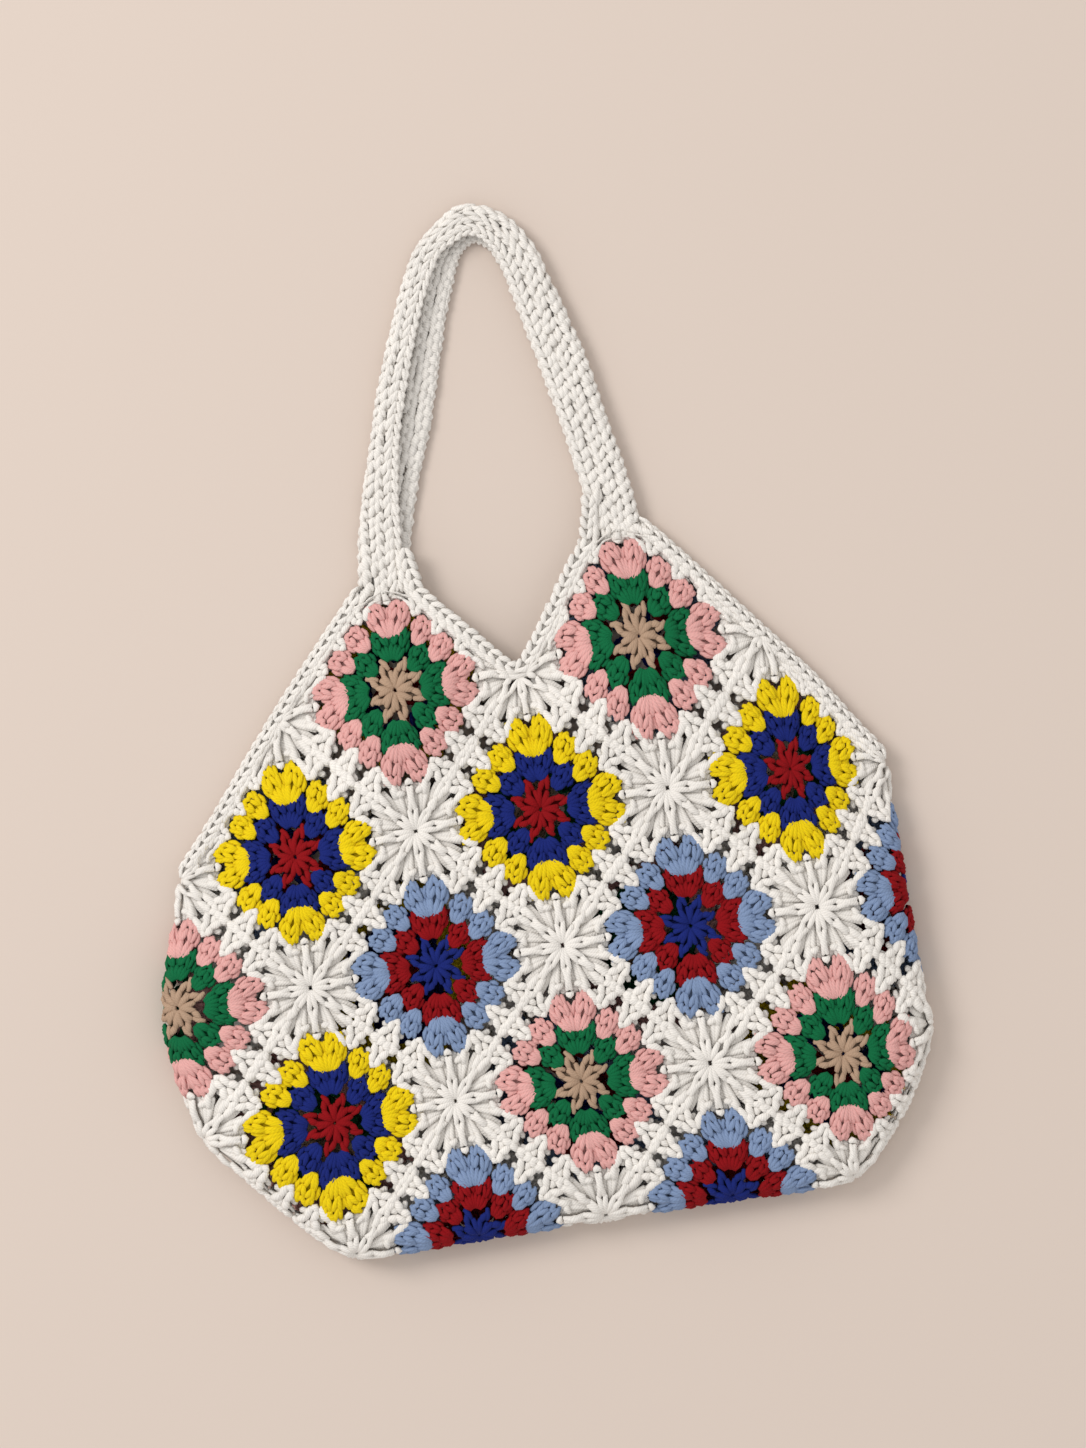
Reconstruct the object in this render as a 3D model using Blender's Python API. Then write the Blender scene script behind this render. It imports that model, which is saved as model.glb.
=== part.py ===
"""A flat crochet bag of twenty-four squares with a folded strap, lying on its back.

Each square is one knitted wall with four small gaps round its star. Metres, +Z up, the
underside of the bag on z = 0, +X to the right and +Y towards the strap.
"""

import math

import bpy
import numpy as np

# Squares, each standing on a corner: half of the width and half of the height
HALF_W = 0.064
HALF_H = 0.068
SIDE_REACH = HALF_W * HALF_H / math.hypot(HALF_W, HALF_H)

# Knitted wall and the small spaces between pieces
WALL = 0.0045
JOIN_GAP = 0.0004
EDGE_GAP = 0.0009
LAYER_GAP = 0.0008

# Edging round the free edges
EDGING_W = 0.0034
FREE_INSET = 0.0054

# Folds at the sides and the bottom
FOLD_R = 0.008
CORNER_R = 0.040
TURN = 0.19 * HALF_W
DROP = 0.10 * HALF_H

# Half of the space between the two middle surfaces
SEAM_HALF = (WALL + LAYER_GAP) / 2
FOLD_HALF = 0.0075
CROWN_HALF = 0.011
MOUTH_SHARE = 0.34
DOME = 0.0008
WAVE = 0.0010

# The corner that each peak loses where the strap begins
PEAK_CUT = 0.52
CORNER_CUT = 0.14

# Strap
LAYER = 0.0042
STRAP_TALL = 0.0100

# Places pulled out of the regular grid: column, row, reach, then half widths right and half heights up
NUDGES = (
    (1.0, -1.75, 0.75, -0.062, 0.235),
    (-1.0, -1.75, 0.75, 0.047, 0.051),
    (3.0, 0.0, 0.55, -0.203, 0.0),
    (-3.0, 0.0, 0.55, 0.070, -0.029),
    (-3.3, 1.1, 0.60, -0.052, 0.0),
    (-2.6, 2.7, 0.50, -0.100, -0.070),
    (3.1, 2.0, 0.45, -0.130, 0.0),
    (-2.0, 0.0, 0.55, 0.045, -0.050),
    (-2.0, 2.0, 0.50, 0.080, 0.0),
    (2.0, 2.1, 0.55, 0.040, -0.110),
)

# Strap stations: outer edge x and y, inner edge x and y, in half widths and half heights; share of the upper layer
STRAP = (
    (-1.098, 2.146, -0.705, 2.041, 0.86),
    (-0.995, 2.518, -0.577, 2.469, 0.66),
    (-0.875, 2.900, -0.425, 2.840, 0.52),
    (-0.756, 3.271, -0.297, 3.206, 0.50),
    (-0.623, 3.585, -0.205, 3.493, 0.50),
    (-0.495, 3.878, -0.109, 3.775, 0.52),
    (-0.309, 4.222, 0.014, 4.076, 0.58),
    (-0.098, 4.399, 0.083, 4.176, 0.70),
    (0.070, 4.503, 0.148, 4.218, 0.80),
    (0.234, 4.503, 0.203, 4.226, 0.86),
    (0.391, 4.434, 0.262, 4.188, 0.92),
    (0.550, 4.301, 0.320, 4.118, 0.96),
    (0.672, 4.088, 0.375, 3.985, 0.96),
    (0.742, 3.856, 0.414, 3.824, 0.96),
    (0.830, 3.575, 0.472, 3.566, 0.96),
    (0.923, 3.247, 0.545, 3.238, 0.96),
    (0.989, 2.888, 0.616, 2.904, 0.96),
    (1.061, 2.529, 0.681, 2.562, 0.96),
    (1.117, 2.221, 0.731, 2.238, 0.97),
)

WHITE = (0.88, 0.85, 0.80)
PINK = (0.79, 0.36, 0.37)
YELLOW = (0.89, 0.66, 0.01)
BLUE = (0.23, 0.38, 0.66)

# Squares: name, column, row, lies on the back, colour
SQUARES = (
    ("front_peak_left", -1, -1, False, PINK),
    ("front_peak_right", 1, -1, False, PINK),
    ("front_upper_left", -2, 0, False, YELLOW),
    ("front_upper_centre", 0, 0, False, YELLOW),
    ("front_upper_right", 2, 0, False, YELLOW),
    ("front_middle_left", -1, 1, False, BLUE),
    ("front_middle_right", 1, 1, False, BLUE),
    ("front_lower_left", -2, 2, False, YELLOW),
    ("front_lower_centre", 0, 2, False, PINK),
    ("front_lower_right", 2, 2, False, PINK),
    ("back_peak_left", -1, -1, True, YELLOW),
    ("back_peak_right", 1, -1, True, BLUE),
    ("back_upper_left", -2, 0, True, BLUE),
    ("back_upper_centre", 0, 0, True, PINK),
    ("back_upper_right", 2, 0, True, PINK),
    ("back_middle_left", -1, 1, True, YELLOW),
    ("back_middle_right", 1, 1, True, PINK),
    ("back_lower_left", -2, 2, True, PINK),
    ("back_lower_centre", 0, 2, True, BLUE),
    ("back_lower_right", 2, 2, True, YELLOW),
    ("side_left", -3, 1, False, PINK),
    ("side_right", 3, 1, False, BLUE),
    ("bottom_left", -1, 3, False, BLUE),
    ("bottom_right", 1, 3, False, BLUE),
)

# Rows of corners across a square; the gaps lie between the third and fourth from each end
COARSE_ROWS = (-1.0, -0.75, -0.33, -0.20, 0.0, 0.20, 0.33, 0.75, 1.0)
FINE_ROWS = (-1.0, -0.75, -0.54, -0.33, -0.20, 0.0, 0.20, 0.33, 0.54, 0.75, 1.0)
GAP_ROWS = (-0.33, 0.20)

# A slanted direction that orders any two corners
LEFT_TO_RIGHT = np.array([1.0, 0.37, 0.19])


def smooth(x):
    x = np.clip(x, 0.0, 1.0)
    return x * x * (3.0 - 2.0 * x)


def fold_lines(p):
    """Distances inside the two sides, the bottom and the two lower corners; y runs down here."""
    x, y = p[:, 0], p[:, 1]
    slant = math.hypot(HALF_W, HALF_H)
    low = (y - 2 * HALF_H) * HALF_W
    return np.stack([
        x + 3 * HALF_W,
        3 * HALF_W - x,
        3 * HALF_H - y,
        ((x + 3 * HALF_W) * HALF_H - low) / slant,
        ((3 * HALF_W - x) * HALF_H - low) / slant,
    ])


def inner_outline():
    """The fold outline moved inwards by the corner radius."""
    slant = math.hypot(HALF_W, HALF_H)
    x = 3 * HALF_W - CORNER_R
    y = 3 * HALF_H - CORNER_R
    y_side = 2 * HALF_H + (CORNER_R * HALF_H - CORNER_R * slant) / HALF_W
    x_low = 3 * HALF_W - (CORNER_R * slant + (HALF_H - CORNER_R) * HALF_W) / HALF_H
    return np.array([(-x, -1.0), (-x, y_side), (-x_low, y), (x_low, y), (x, y_side), (x, -1.0)])


def fold_distance(p):
    """Distance inside the rounded fold line, the way inwards, and the distance inside plain corners."""
    plain = fold_lines(p).min(axis=0)
    outline = inner_outline()
    best = np.full(len(p), 9.0)
    inward = np.zeros_like(p)
    for a, b in zip(outline[:-1], outline[1:]):
        run = b - a
        along = np.clip(((p - a) @ run) / (run @ run), 0.0, 1.0)
        way = a + along[:, None] * run - p
        far = np.hypot(way[:, 0], way[:, 1])
        nearer = far < best
        best = np.where(nearer, far, best)
        inward = np.where(nearer[:, None], way, inward)
    inside = plain >= CORNER_R
    inward = np.where(inside[:, None], 0.0, inward / np.maximum(best, 1e-9)[:, None])
    return np.where(inside, plain, CORNER_R - best), inward, plain


def panel_shift(p):
    """How far the front has slipped round the folds against the middle of the bag."""
    i, j = p[:, 0] / HALF_W, p[:, 1] / HALF_H
    turn = TURN * smooth((j + 0.15) / 1.3) * (1.0 - smooth((j - 1.2) / 1.3))
    drop = DROP * smooth((j - 0.3) / 2.0) * (1.0 - smooth((np.abs(i) - 1.7) / 1.5))
    return np.stack([turn, -drop], axis=1)


def half_space(p, d):
    """Half of the height between the middle surfaces of front and back."""
    i, j = p[:, 0] / HALF_W, p[:, 1] / HALF_H
    slope = smooth((3.0 + j - np.abs(i)) * SIDE_REACH / 0.070)
    mouth = smooth((np.abs(i) + j + 1.0) * SIDE_REACH / 0.060)
    tall = SEAM_HALF + (CROWN_HALF - SEAM_HALF) * slope * (MOUTH_SHARE + (1.0 - MOUTH_SHARE) * mouth)
    fold = 0.0046 + (FOLD_HALF - 0.0046) * smooth(p[:, 1] / 0.050)
    return tall + (fold - tall) * (1.0 - smooth(d / 0.032))


def bag_point(i, j, back):
    """Place on the middle surface of the wall for a grid position; past a fold it runs on round it."""
    i, j = np.asarray(i, float), np.asarray(j, float)
    over_left, over_right, over_low = i < -3.0, i > 3.0, j > 3.0
    back = np.full(i.shape, back) ^ over_left ^ over_right ^ over_low
    i = np.where(over_left, -6.0 - i, np.where(over_right, 6.0 - i, i))
    j = np.where(over_low, 6.0 - j, j)
    p = np.stack([i * HALF_W, j * HALF_H], axis=1)
    d, inward, plain = fold_distance(p)
    hold = (1.0 - smooth(plain / CORNER_R))[:, None]
    shift = panel_shift(p)
    across = (shift * inward).sum(axis=1)[:, None] * inward
    face = np.where(back, -1.0, 1.0)
    p = p + (plain - d)[:, None] * inward
    p = p + face[:, None] * (shift * (1.0 - hold) + across * hold)
    d, inward, plain = fold_distance(p)
    face = face * np.where(d < 0.0, -1.0, 1.0)
    p = p + (np.abs(d) - d)[:, None] * inward
    d = np.abs(d)
    bend = np.clip(d / FOLD_R, 0.0, math.pi / 2)
    taken = (math.pi / 2 - 1.0) * FOLD_R + FOLD_R * (1.0 - np.cos(bend)) - d
    p = p + np.where(d < FOLD_R * math.pi / 2, taken, 0.0)[:, None] * inward
    z = WALL / 2 + half_space(p, d) * (1.0 + face * np.sin(bend))
    front = smooth(face * np.sin(bend)) * smooth((3.0 + p[:, 1] / HALF_H - np.abs(p[:, 0]) / HALF_W) * 0.8)
    puff = (1 + np.cos(math.pi * (i + j))) * (1 + np.cos(math.pi * (i - j))) / 4
    wave = np.sin(p[:, 0] / 0.045 + 0.6) * np.sin(p[:, 1] / 0.052 - 0.4)
    z = z + front * (DOME * puff + WAVE * wave)
    p = p - panel_shift(p)
    gi, gj = p[:, 0] / HALF_W, p[:, 1] / HALF_H
    x, y = p[:, 0].copy(), -p[:, 1]
    for ci, cj, reach, right, up in NUDGES:
        pull = np.exp(-((gi - ci) ** 2 + (gj - cj) ** 2) / (2 * reach * reach))
        x = x + right * HALF_W * pull
        y = y + up * HALF_H * pull
    return np.stack([x, y, z], axis=1)


def bag_frame(i, j, back):
    """Place, outward direction and the two directions along the surface."""
    i, j = np.asarray(i, float), np.asarray(j, float)
    e = 1e-4
    du = bag_point(i + e, j, back) - bag_point(i - e, j, back)
    dv = bag_point(i, j + e, back) - bag_point(i, j - e, back)
    out = np.cross(dv, du) * (-1.0 if back else 1.0)
    out = out / np.linalg.norm(out, axis=1)[:, None]
    return bag_point(i, j, back), out, du, dv


def material(name, colour):
    mat = bpy.data.materials.new(name)
    mat.use_nodes = True
    shader = mat.node_tree.nodes["Principled BSDF"]
    shader.inputs["Base Color"].default_value = (*colour, 1.0)
    shader.inputs["Roughness"].default_value = 0.9
    shader.inputs["Metallic"].default_value = 0.0
    return mat


def add_solid(name, verts, faces, colour):
    """A closed solid; its faces are turned outwards when the volume comes out negative."""
    points = np.array(verts, float)
    volume = 0.0
    for face in faces:
        for k in range(1, len(face) - 1):
            volume += np.dot(points[face[0]], np.cross(points[face[k]], points[face[k + 1]]))
    if volume < 0.0:
        faces = [face[::-1] for face in faces]
    mesh = bpy.data.meshes.new(name)
    mesh.from_pydata([tuple(map(float, v)) for v in verts], [], faces)
    mesh.validate()
    mesh.materials.append(material(name + "_yarn", colour))
    obj = bpy.data.objects.new(name, mesh)
    bpy.context.scene.collection.objects.link(obj)
    return obj


def free_sides(ic, jc):
    """Which sides of a square border no other square: its upper left and its upper right."""
    if jc == -1:
        return True, True
    return (ic, jc) == (-2, 0), (ic, jc) == (2, 0)


def square(name, ic, jc, back, colour):
    """One square as a wall of even thickness over the bag's surface, with four gaps."""
    near_fold = (abs(ic), jc) == (2, 2) or (back and (abs(ic), jc) in ((2, 0), (0, 2)))
    fine = abs(ic) == 3 or jc == 3 or near_fold
    rows = list(FINE_ROWS if fine else COARSE_ROWS)
    count = len(rows)
    joined = JOIN_GAP / 2 / SIDE_REACH
    free = FREE_INSET / SIDE_REACH
    free_s, free_t = free_sides(ic, jc)
    s_rows, t_rows = np.array(rows), np.array(rows)
    s_rows[0] = -1.0 + (free if free_s else joined)
    t_rows[0] = -1.0 + (free if free_t else joined)
    s_rows[-1] = t_rows[-1] = 1.0 - joined
    s, t = np.meshgrid(s_rows, t_rows, indexing="ij")
    if jc == -1:
        line = -2.0 + PEAK_CUT
        s[0, 1], t[0, 1] = s_rows[0], line - s_rows[0]
        s[1, 0], t[1, 0] = line - t_rows[0], t_rows[0]
        s[0, 0] = t[0, 0] = line / 2
    elif (ic, jc) == (0, 0) or abs(ic) == 3:
        s[0, 0] = t[0, 0] = -1.0 + CORNER_CUT / 2
    i = ic + (s - t).ravel() / 2
    j = jc + (s + t).ravel() / 2
    place, out, _, _ = bag_frame(i, j, back)
    outer = (place + out * WALL / 2).reshape(count, count, 3)
    inner = (place - out * WALL / 2).reshape(count, count, 3)
    if fine:
        # Between the shared corners, the sides run straight so that neighbours meet
        for k in range(1, count - 1):
            if rows[k] in COARSE_ROWS:
                continue
            share = (rows[k] - rows[k - 1]) / (rows[k + 1] - rows[k - 1])
            for skin in (outer, inner):
                for edge in (skin[0], skin[-1], skin[:, 0], skin[:, -1]):
                    edge[k] = edge[k - 1] * (1 - share) + edge[k + 1] * share
    verts = np.concatenate([outer.reshape(-1, 3), inner.reshape(-1, 3)])
    half = count * count
    faces = []
    gaps = [rows.index(value) for value in GAP_ROWS]
    flip = -1 if back else 1

    def wall(*corners):
        faces.append(tuple(corners[::flip]))

    for a in range(count - 1):
        for b in range(count - 1):
            v00, v01 = a * count + b, a * count + b + 1
            v10, v11 = v00 + count, v01 + count
            if a in gaps and b in gaps:
                ring = (v00, v10, v11, v01)
                for k in range(4):
                    one, two = ring[k], ring[(k + 1) % 4]
                    wall(one, one + half, two + half)
                    wall(one, two + half, two)
                continue
            long_a = np.linalg.norm(verts[v00] - verts[v11])
            long_b = np.linalg.norm(verts[v01] - verts[v10])
            along_fold = abs(ic) == 3 or (jc != 3 and long_a <= long_b)
            if along_fold:
                parts = ((v00, v01, v11), (v00, v11, v10))
            else:
                parts = ((v00, v01, v10), (v01, v11, v10))
            for part in parts:
                wall(*part)
                wall(*[v + half for v in part[::-1]])
    last = count - 1
    rim = [k for k in range(count)]
    rim += [k * count + last for k in range(1, count)]
    rim += [last * count + k for k in range(last - 1, -1, -1)]
    rim += [k * count for k in range(last - 1, 0, -1)]
    for k in range(len(rim)):
        one, two = rim[k], rim[(k + 1) % len(rim)]
        # Neighbours split a twisted side the same way, from its left end
        if verts[one] @ LEFT_TO_RIGHT < verts[two] @ LEFT_TO_RIGHT:
            wall(one, one + half, two + half)
            wall(one, two + half, two)
        else:
            wall(one, one + half, two)
            wall(two, one + half, two + half)
    add_solid(name, verts, faces, colour)


def ring_faces(stations, around, caps):
    """Faces of a tube with the same number of corners at every station."""
    faces = []
    for k in range(stations - 1):
        for m in range(around):
            n = (m + 1) % around
            a, b = k * around + m, k * around + n
            faces.append((a, b, b + around))
            faces.append((a, b + around, a + around))
    start = (stations - 1) * around
    for cap in caps:
        faces.append(tuple(cap[::-1]))
        faces.append(tuple(start + m for m in cap))
    return faces


def edging(name, i, j, back):
    """A rounded cord along a free edge of one panel."""
    place, out, _, _ = bag_frame(i, j, back)
    run = np.gradient(place, axis=0)
    run = run / np.linalg.norm(run, axis=1)[:, None]
    side = np.cross(out, run)
    side = side / np.linalg.norm(side, axis=1)[:, None]
    around = 8
    verts = []
    for k in range(len(place)):
        for m in range(around):
            angle = math.pi / 4 * m + math.pi / 8
            wide = side[k] * math.cos(angle) * EDGING_W / 2 / math.cos(math.pi / 8)
            tall = out[k] * math.sin(angle) * (WALL - 0.0003) / 2 / math.cos(math.pi / 8)
            verts.append(place[k] + wide + tall)
    if np.dot(np.cross(side[0], out[0]), run[0]) > 0:
        order = list(range(around))
    else:
        order = list(range(around - 1, -1, -1))
    verts = [verts[k * around + m] for k in range(len(place)) for m in order]
    caps = [(0, 1, 2, 3), (0, 3, 4, 7), (4, 5, 6, 7)]
    add_solid(name, verts, ring_faces(len(place), around, caps), WHITE)


def seam_edging(name, i, j):
    """A standing cord that closes front and back along an upper slope."""
    front = bag_point(i, j, False)
    back = bag_point(i, j, True)
    middle = (front + back) / 2
    run = np.gradient(middle, axis=0)
    run[:, 2] = 0.0
    run = run / np.linalg.norm(run, axis=1)[:, None]
    up = np.array([0.0, 0.0, 1.0])
    verts = []
    for k in range(len(middle)):
        tall = abs(front[k, 2] - back[k, 2]) / 2 + WALL / 2 - 0.0002
        side = np.cross(up, run[k])
        soft = 0.0011
        wide = EDGING_W / 2
        shape = ((wide, -tall + soft), (wide, tall - soft), (wide - soft, tall), (-wide + soft, tall),
                 (-wide, tall - soft), (-wide, -tall + soft), (-wide + soft, -tall), (wide - soft, -tall))
        for across, high in shape[::-1]:
            verts.append(middle[k] + side * across + up * high)
    caps = [(0, 1, 6, 7), (1, 2, 5, 6), (2, 3, 4, 5)]
    add_solid(name, verts, ring_faces(len(middle), 8, caps), WHITE)


def peak_end(side):
    """Both ends of the cut corner of a peak, over the outside edges of its edgings."""
    line = -2.0 + PEAK_CUT - 0.012
    inset = (FREE_INSET - EDGE_GAP - EDGING_W * 0.5) / SIDE_REACH
    s = np.array([-1.0 + inset, line + 1.0 - inset])
    t = line - s
    ends = bag_point(side + (s - t) / 2, -1 + (s + t) / 2, False)
    return ends[0, :2], ends[1, :2]


def strap():
    """The strap: a band folded along its outer edge and open towards the inside of the loop."""
    left_out, left_in = peak_end(-1)
    right_in, right_out = peak_end(1)
    lift = np.array([0.0, LAYER_GAP + 0.0003])
    table = [(*(left_out + lift), *(left_in + lift), 0.97)]
    for ox, oy, nx, ny, share in STRAP:
        table.append((ox * HALF_W, oy * HALF_H, nx * HALF_W, ny * HALF_H, share))
    table.append((*(right_out + lift), *(right_in + lift), 0.97))
    table = np.array(table)
    # Halfway stations on a smooth curve through the table
    between = []
    for k in range(len(table) - 1):
        before, after = table[max(k - 1, 0)], table[min(k + 2, len(table) - 1)]
        between.append((9 * (table[k] + table[k + 1]) - before - after) / 16)
    stations = [table[0]]
    for k in range(len(between)):
        stations += [between[k], table[k + 1]]
    tall = STRAP_TALL
    bend = (tall - LAYER) / 2
    verts = []
    for ox, oy, nx, ny, share in stations:
        outer, inner = np.array([ox, oy]), np.array([nx, ny])
        width = np.linalg.norm(inner - outer)
        way = (inner - outer) / width
        start = LAYER / 2 + bend
        upper = max(width * share, start + 0.004)
        path = [(width, LAYER / 2), (start, LAYER / 2)]
        for angle in (45, 90, 135):
            turn = math.radians(angle)
            path.append((start - bend * math.sin(turn), tall / 2 - bend * math.cos(turn)))
        path += [(start, tall - LAYER / 2), (upper, tall - LAYER / 2)]
        path = np.array(path)
        along = np.gradient(path, axis=0)
        along = along / np.linalg.norm(along, axis=1)[:, None]
        normal = np.stack([-along[:, 1], along[:, 0]], axis=1)
        far = path + normal * LAYER / 2
        near = path - normal * LAYER / 2
        far[[0, 1], 1] = 0.0
        far[[5, 6], 1] = tall
        near[[0, 1], 1] = LAYER
        near[[5, 6], 1] = tall - LAYER
        for a, z in np.concatenate([far, near[::-1]]):
            spot = outer + way * a
            verts.append((spot[0], spot[1], z))
    around = 14
    caps = [(k, k + 1, around - 2 - k, around - 1 - k) for k in range(6)]
    faces = [face[::-1] for face in ring_faces(len(stations), around, caps)]
    add_solid("strap", verts, faces, WHITE)


for old in list(bpy.data.objects):
    bpy.data.objects.remove(old)

for entry in SQUARES:
    square(*entry)

centre_inset = (FREE_INSET - EDGE_GAP - EDGING_W / 2) / SIDE_REACH
end_line = -2.0 + PEAK_CUT + 0.045

# Mouth: from the left peak down to the middle and up to the right peak
reach = 1.0 - (end_line + 1.0 - centre_inset + 1.0) / 2 - centre_inset / 2
side_i = np.linspace(0.0, reach, 9)
mouth_i = np.concatenate([-side_i[::-1], side_i[1:]])
round_off = 0.045
mouth_j = -1.0 + centre_inset - np.hypot(mouth_i, round_off)
edging("mouth_edging_front", mouth_i, mouth_j, False)
edging("mouth_edging_back", mouth_i, mouth_j, True)

# Upper slopes: from each side point to the strap
steps = np.linspace(0.0, 1.0, 15)
edge = -1.0 + centre_inset
low_t, top_t = 0.84, end_line - edge
low_i, low_j = -2 + (edge - low_t) / 2, (edge + low_t) / 2
top_i, top_j = -1 + (edge - top_t) / 2, -1 + (edge + top_t) / 2
slope_i = low_i + (top_i - low_i) * steps
slope_j = low_j + (top_j - low_j) * steps
seam_edging("seam_edging_left", slope_i, slope_j)
seam_edging("seam_edging_right", -slope_i[::-1], slope_j[::-1])

strap()
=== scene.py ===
"""Looks of a flat crochet bag: granny squares of thick cotton yarn and a folded strap.

Every square, cord and the strap is a mesh of yarn strands. The strands are laid out flat
by Geometry Nodes and then carried on to the bag's own surface, the one its solids follow.
"""

import math

import bpy
import numpy as np
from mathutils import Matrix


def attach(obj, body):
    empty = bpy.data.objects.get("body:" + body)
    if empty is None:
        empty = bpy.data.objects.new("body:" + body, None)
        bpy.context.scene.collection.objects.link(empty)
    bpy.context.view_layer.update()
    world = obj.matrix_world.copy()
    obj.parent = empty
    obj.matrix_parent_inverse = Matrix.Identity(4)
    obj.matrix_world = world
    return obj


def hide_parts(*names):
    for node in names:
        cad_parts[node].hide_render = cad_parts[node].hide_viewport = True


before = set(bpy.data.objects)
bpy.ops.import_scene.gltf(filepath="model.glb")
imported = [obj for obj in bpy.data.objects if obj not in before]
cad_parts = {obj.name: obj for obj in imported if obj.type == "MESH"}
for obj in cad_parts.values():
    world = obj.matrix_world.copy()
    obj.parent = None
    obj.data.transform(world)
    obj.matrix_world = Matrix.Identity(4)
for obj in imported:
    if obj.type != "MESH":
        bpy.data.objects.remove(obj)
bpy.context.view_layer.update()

# Sizes of the bag's surface, in metres
HALF_W = 0.064
HALF_H = 0.068
SIDE_REACH = HALF_W * HALF_H / math.hypot(HALF_W, HALF_H)
WALL = 0.0045
LAYER_GAP = 0.0008
EDGE_GAP = 0.0009
EDGING_W = 0.0034
FREE_INSET = 0.0054
FOLD_R = 0.008
CORNER_R = 0.040
TURN = 0.19 * HALF_W
DROP = 0.10 * HALF_H
SEAM_HALF = (WALL + LAYER_GAP) / 2
FOLD_HALF = 0.0075
FOLD_HALF_TOP = 0.0046
FOLD_RISE = 0.050
FOLD_REACH = 0.032
CROWN_HALF = 0.011
SLOPE_REACH = 0.070
MOUTH_REACH = 0.060
MOUTH_SHARE = 0.34
DOME = 0.0008
WAVE = 0.0010
WAVE_ACROSS = 0.045
WAVE_DOWN = 0.052
PEAK_CUT = 0.52
CORNER_CUT = 0.14
LAYER = 0.0042
STRAP_TALL = 0.0100
MM = 0.001

# Yarn on the surface: the share of its flat height that it keeps, and the height in metres
# below which it is pressed against the floor, with the share of the way down that is left
SQUARE_HEIGHT = 0.92
STRAP_HEIGHT = 0.9
PRESS_FROM = 0.0009
PRESS_SHARE = 0.45

# How far the middle of a square is turned, in radians
FRONT_TWIST = -0.03
BACK_TWIST = 0.20

# Where a square's yarn starts to be squeezed in, in half sides from its middle: at a free side,
# and at a cut corner the start and the old end, as sums of both directions
FREE_FROM = -0.78
PEAK_FROM = -1.25
PEAK_END = -1.85
CORNER_FROM = -1.5
CORNER_END = -2.0

# Each stitch draws a number below this, which stands for one of the copies in its set
PICKS = 12

# Flat lengths of a cluster and of a foot, in millimetres, and the place of the low ties as a
# share of the side's distance
CLUSTER_TALL = 15.2
FOOT_TALL = 12.2
TIE_SHARE = 0.54

# Flat strap and edgings, in millimetres
STRAP_FLAT = 54.0
STRAP_COLUMNS = 11
RIB_PITCH = 5.7
LIP_PITCH = 5.2
CHAIN_PITCH = 5.4
CORD_PITCH = 6.0
SEAM_TURN = 6.0

# Places pulled out of the regular grid: column, row, reach, then half widths to the right
# and half heights up
NUDGES = (
    (1.0, -1.75, 0.75, -0.062, 0.235),
    (-1.0, -1.75, 0.75, 0.047, 0.051),
    (3.0, 0.0, 0.55, -0.203, 0.0),
    (-3.0, 0.0, 0.55, 0.070, -0.029),
    (-3.3, 1.1, 0.60, -0.052, 0.0),
    (-2.6, 2.7, 0.50, -0.100, -0.070),
    (3.1, 2.0, 0.45, -0.130, 0.0),
    (-2.0, 0.0, 0.55, 0.045, -0.050),
    (-2.0, 2.0, 0.50, 0.080, 0.0),
    (2.0, 2.1, 0.55, 0.040, -0.110),
)

# Strap stations: outer edge x and y and inner edge x and y, in half widths and half heights,
# then the width of the upper layer as a share of the lower
STRAP = (
    (-1.098, 2.146, -0.705, 2.041, 0.86),
    (-0.995, 2.518, -0.577, 2.469, 0.66),
    (-0.875, 2.900, -0.425, 2.840, 0.52),
    (-0.756, 3.271, -0.297, 3.206, 0.50),
    (-0.623, 3.585, -0.205, 3.493, 0.50),
    (-0.495, 3.878, -0.109, 3.775, 0.52),
    (-0.309, 4.222, 0.014, 4.076, 0.58),
    (-0.098, 4.399, 0.083, 4.176, 0.70),
    (0.070, 4.503, 0.148, 4.218, 0.80),
    (0.234, 4.503, 0.203, 4.226, 0.86),
    (0.391, 4.434, 0.262, 4.188, 0.92),
    (0.550, 4.301, 0.320, 4.118, 0.96),
    (0.672, 4.088, 0.375, 3.985, 0.96),
    (0.742, 3.856, 0.414, 3.824, 0.96),
    (0.830, 3.575, 0.472, 3.566, 0.96),
    (0.923, 3.247, 0.545, 3.238, 0.96),
    (0.989, 2.888, 0.616, 2.904, 0.96),
    (1.061, 2.529, 0.681, 2.562, 0.96),
    (1.117, 2.221, 0.731, 2.238, 0.97),
)

# Squares of both panels: name, column, row, then the pattern in front and the one behind
PLACES = (
    ("peak_left", -1, -1, "pink", "yellow"),
    ("peak_right", 1, -1, "pink", "sky"),
    ("upper_left", -2, 0, "yellow", "sky"),
    ("upper_centre", 0, 0, "yellow", "pink"),
    ("upper_right", 2, 0, "yellow", "pink"),
    ("middle_left", -1, 1, "sky", "yellow"),
    ("middle_right", 1, 1, "sky", "pink"),
    ("lower_left", -2, 2, "yellow", "pink"),
    ("lower_centre", 0, 2, "pink", "sky"),
    ("lower_right", 2, 2, "pink", "yellow"),
)

# Squares folded round a side or the bottom: name, column, row, pattern
FOLDED = (
    ("side_left", -3, 1, "pink"),
    ("side_right", 3, 1, "sky"),
    ("bottom_left", -1, 3, "sky"),
    ("bottom_right", 1, 3, "sky"),
)

# All squares: name, column, row, lies on the back, pattern
SQUARES = [("front_" + name, i, j, False, front) for name, i, j, front, _ in PLACES]
SQUARES += [("back_" + name, i, j, True, behind) for name, i, j, _, behind in PLACES]
SQUARES += [(name, i, j, False, pattern) for name, i, j, pattern in FOLDED]

# Yarns of the star, the second, the third and the last round
PATTERNS = {
    "pink": ("tan", "green", "pink", "white"),
    "yellow": ("red", "navy", "yellow", "white"),
    "sky": ("navy", "red", "sky", "white"),
}

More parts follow.
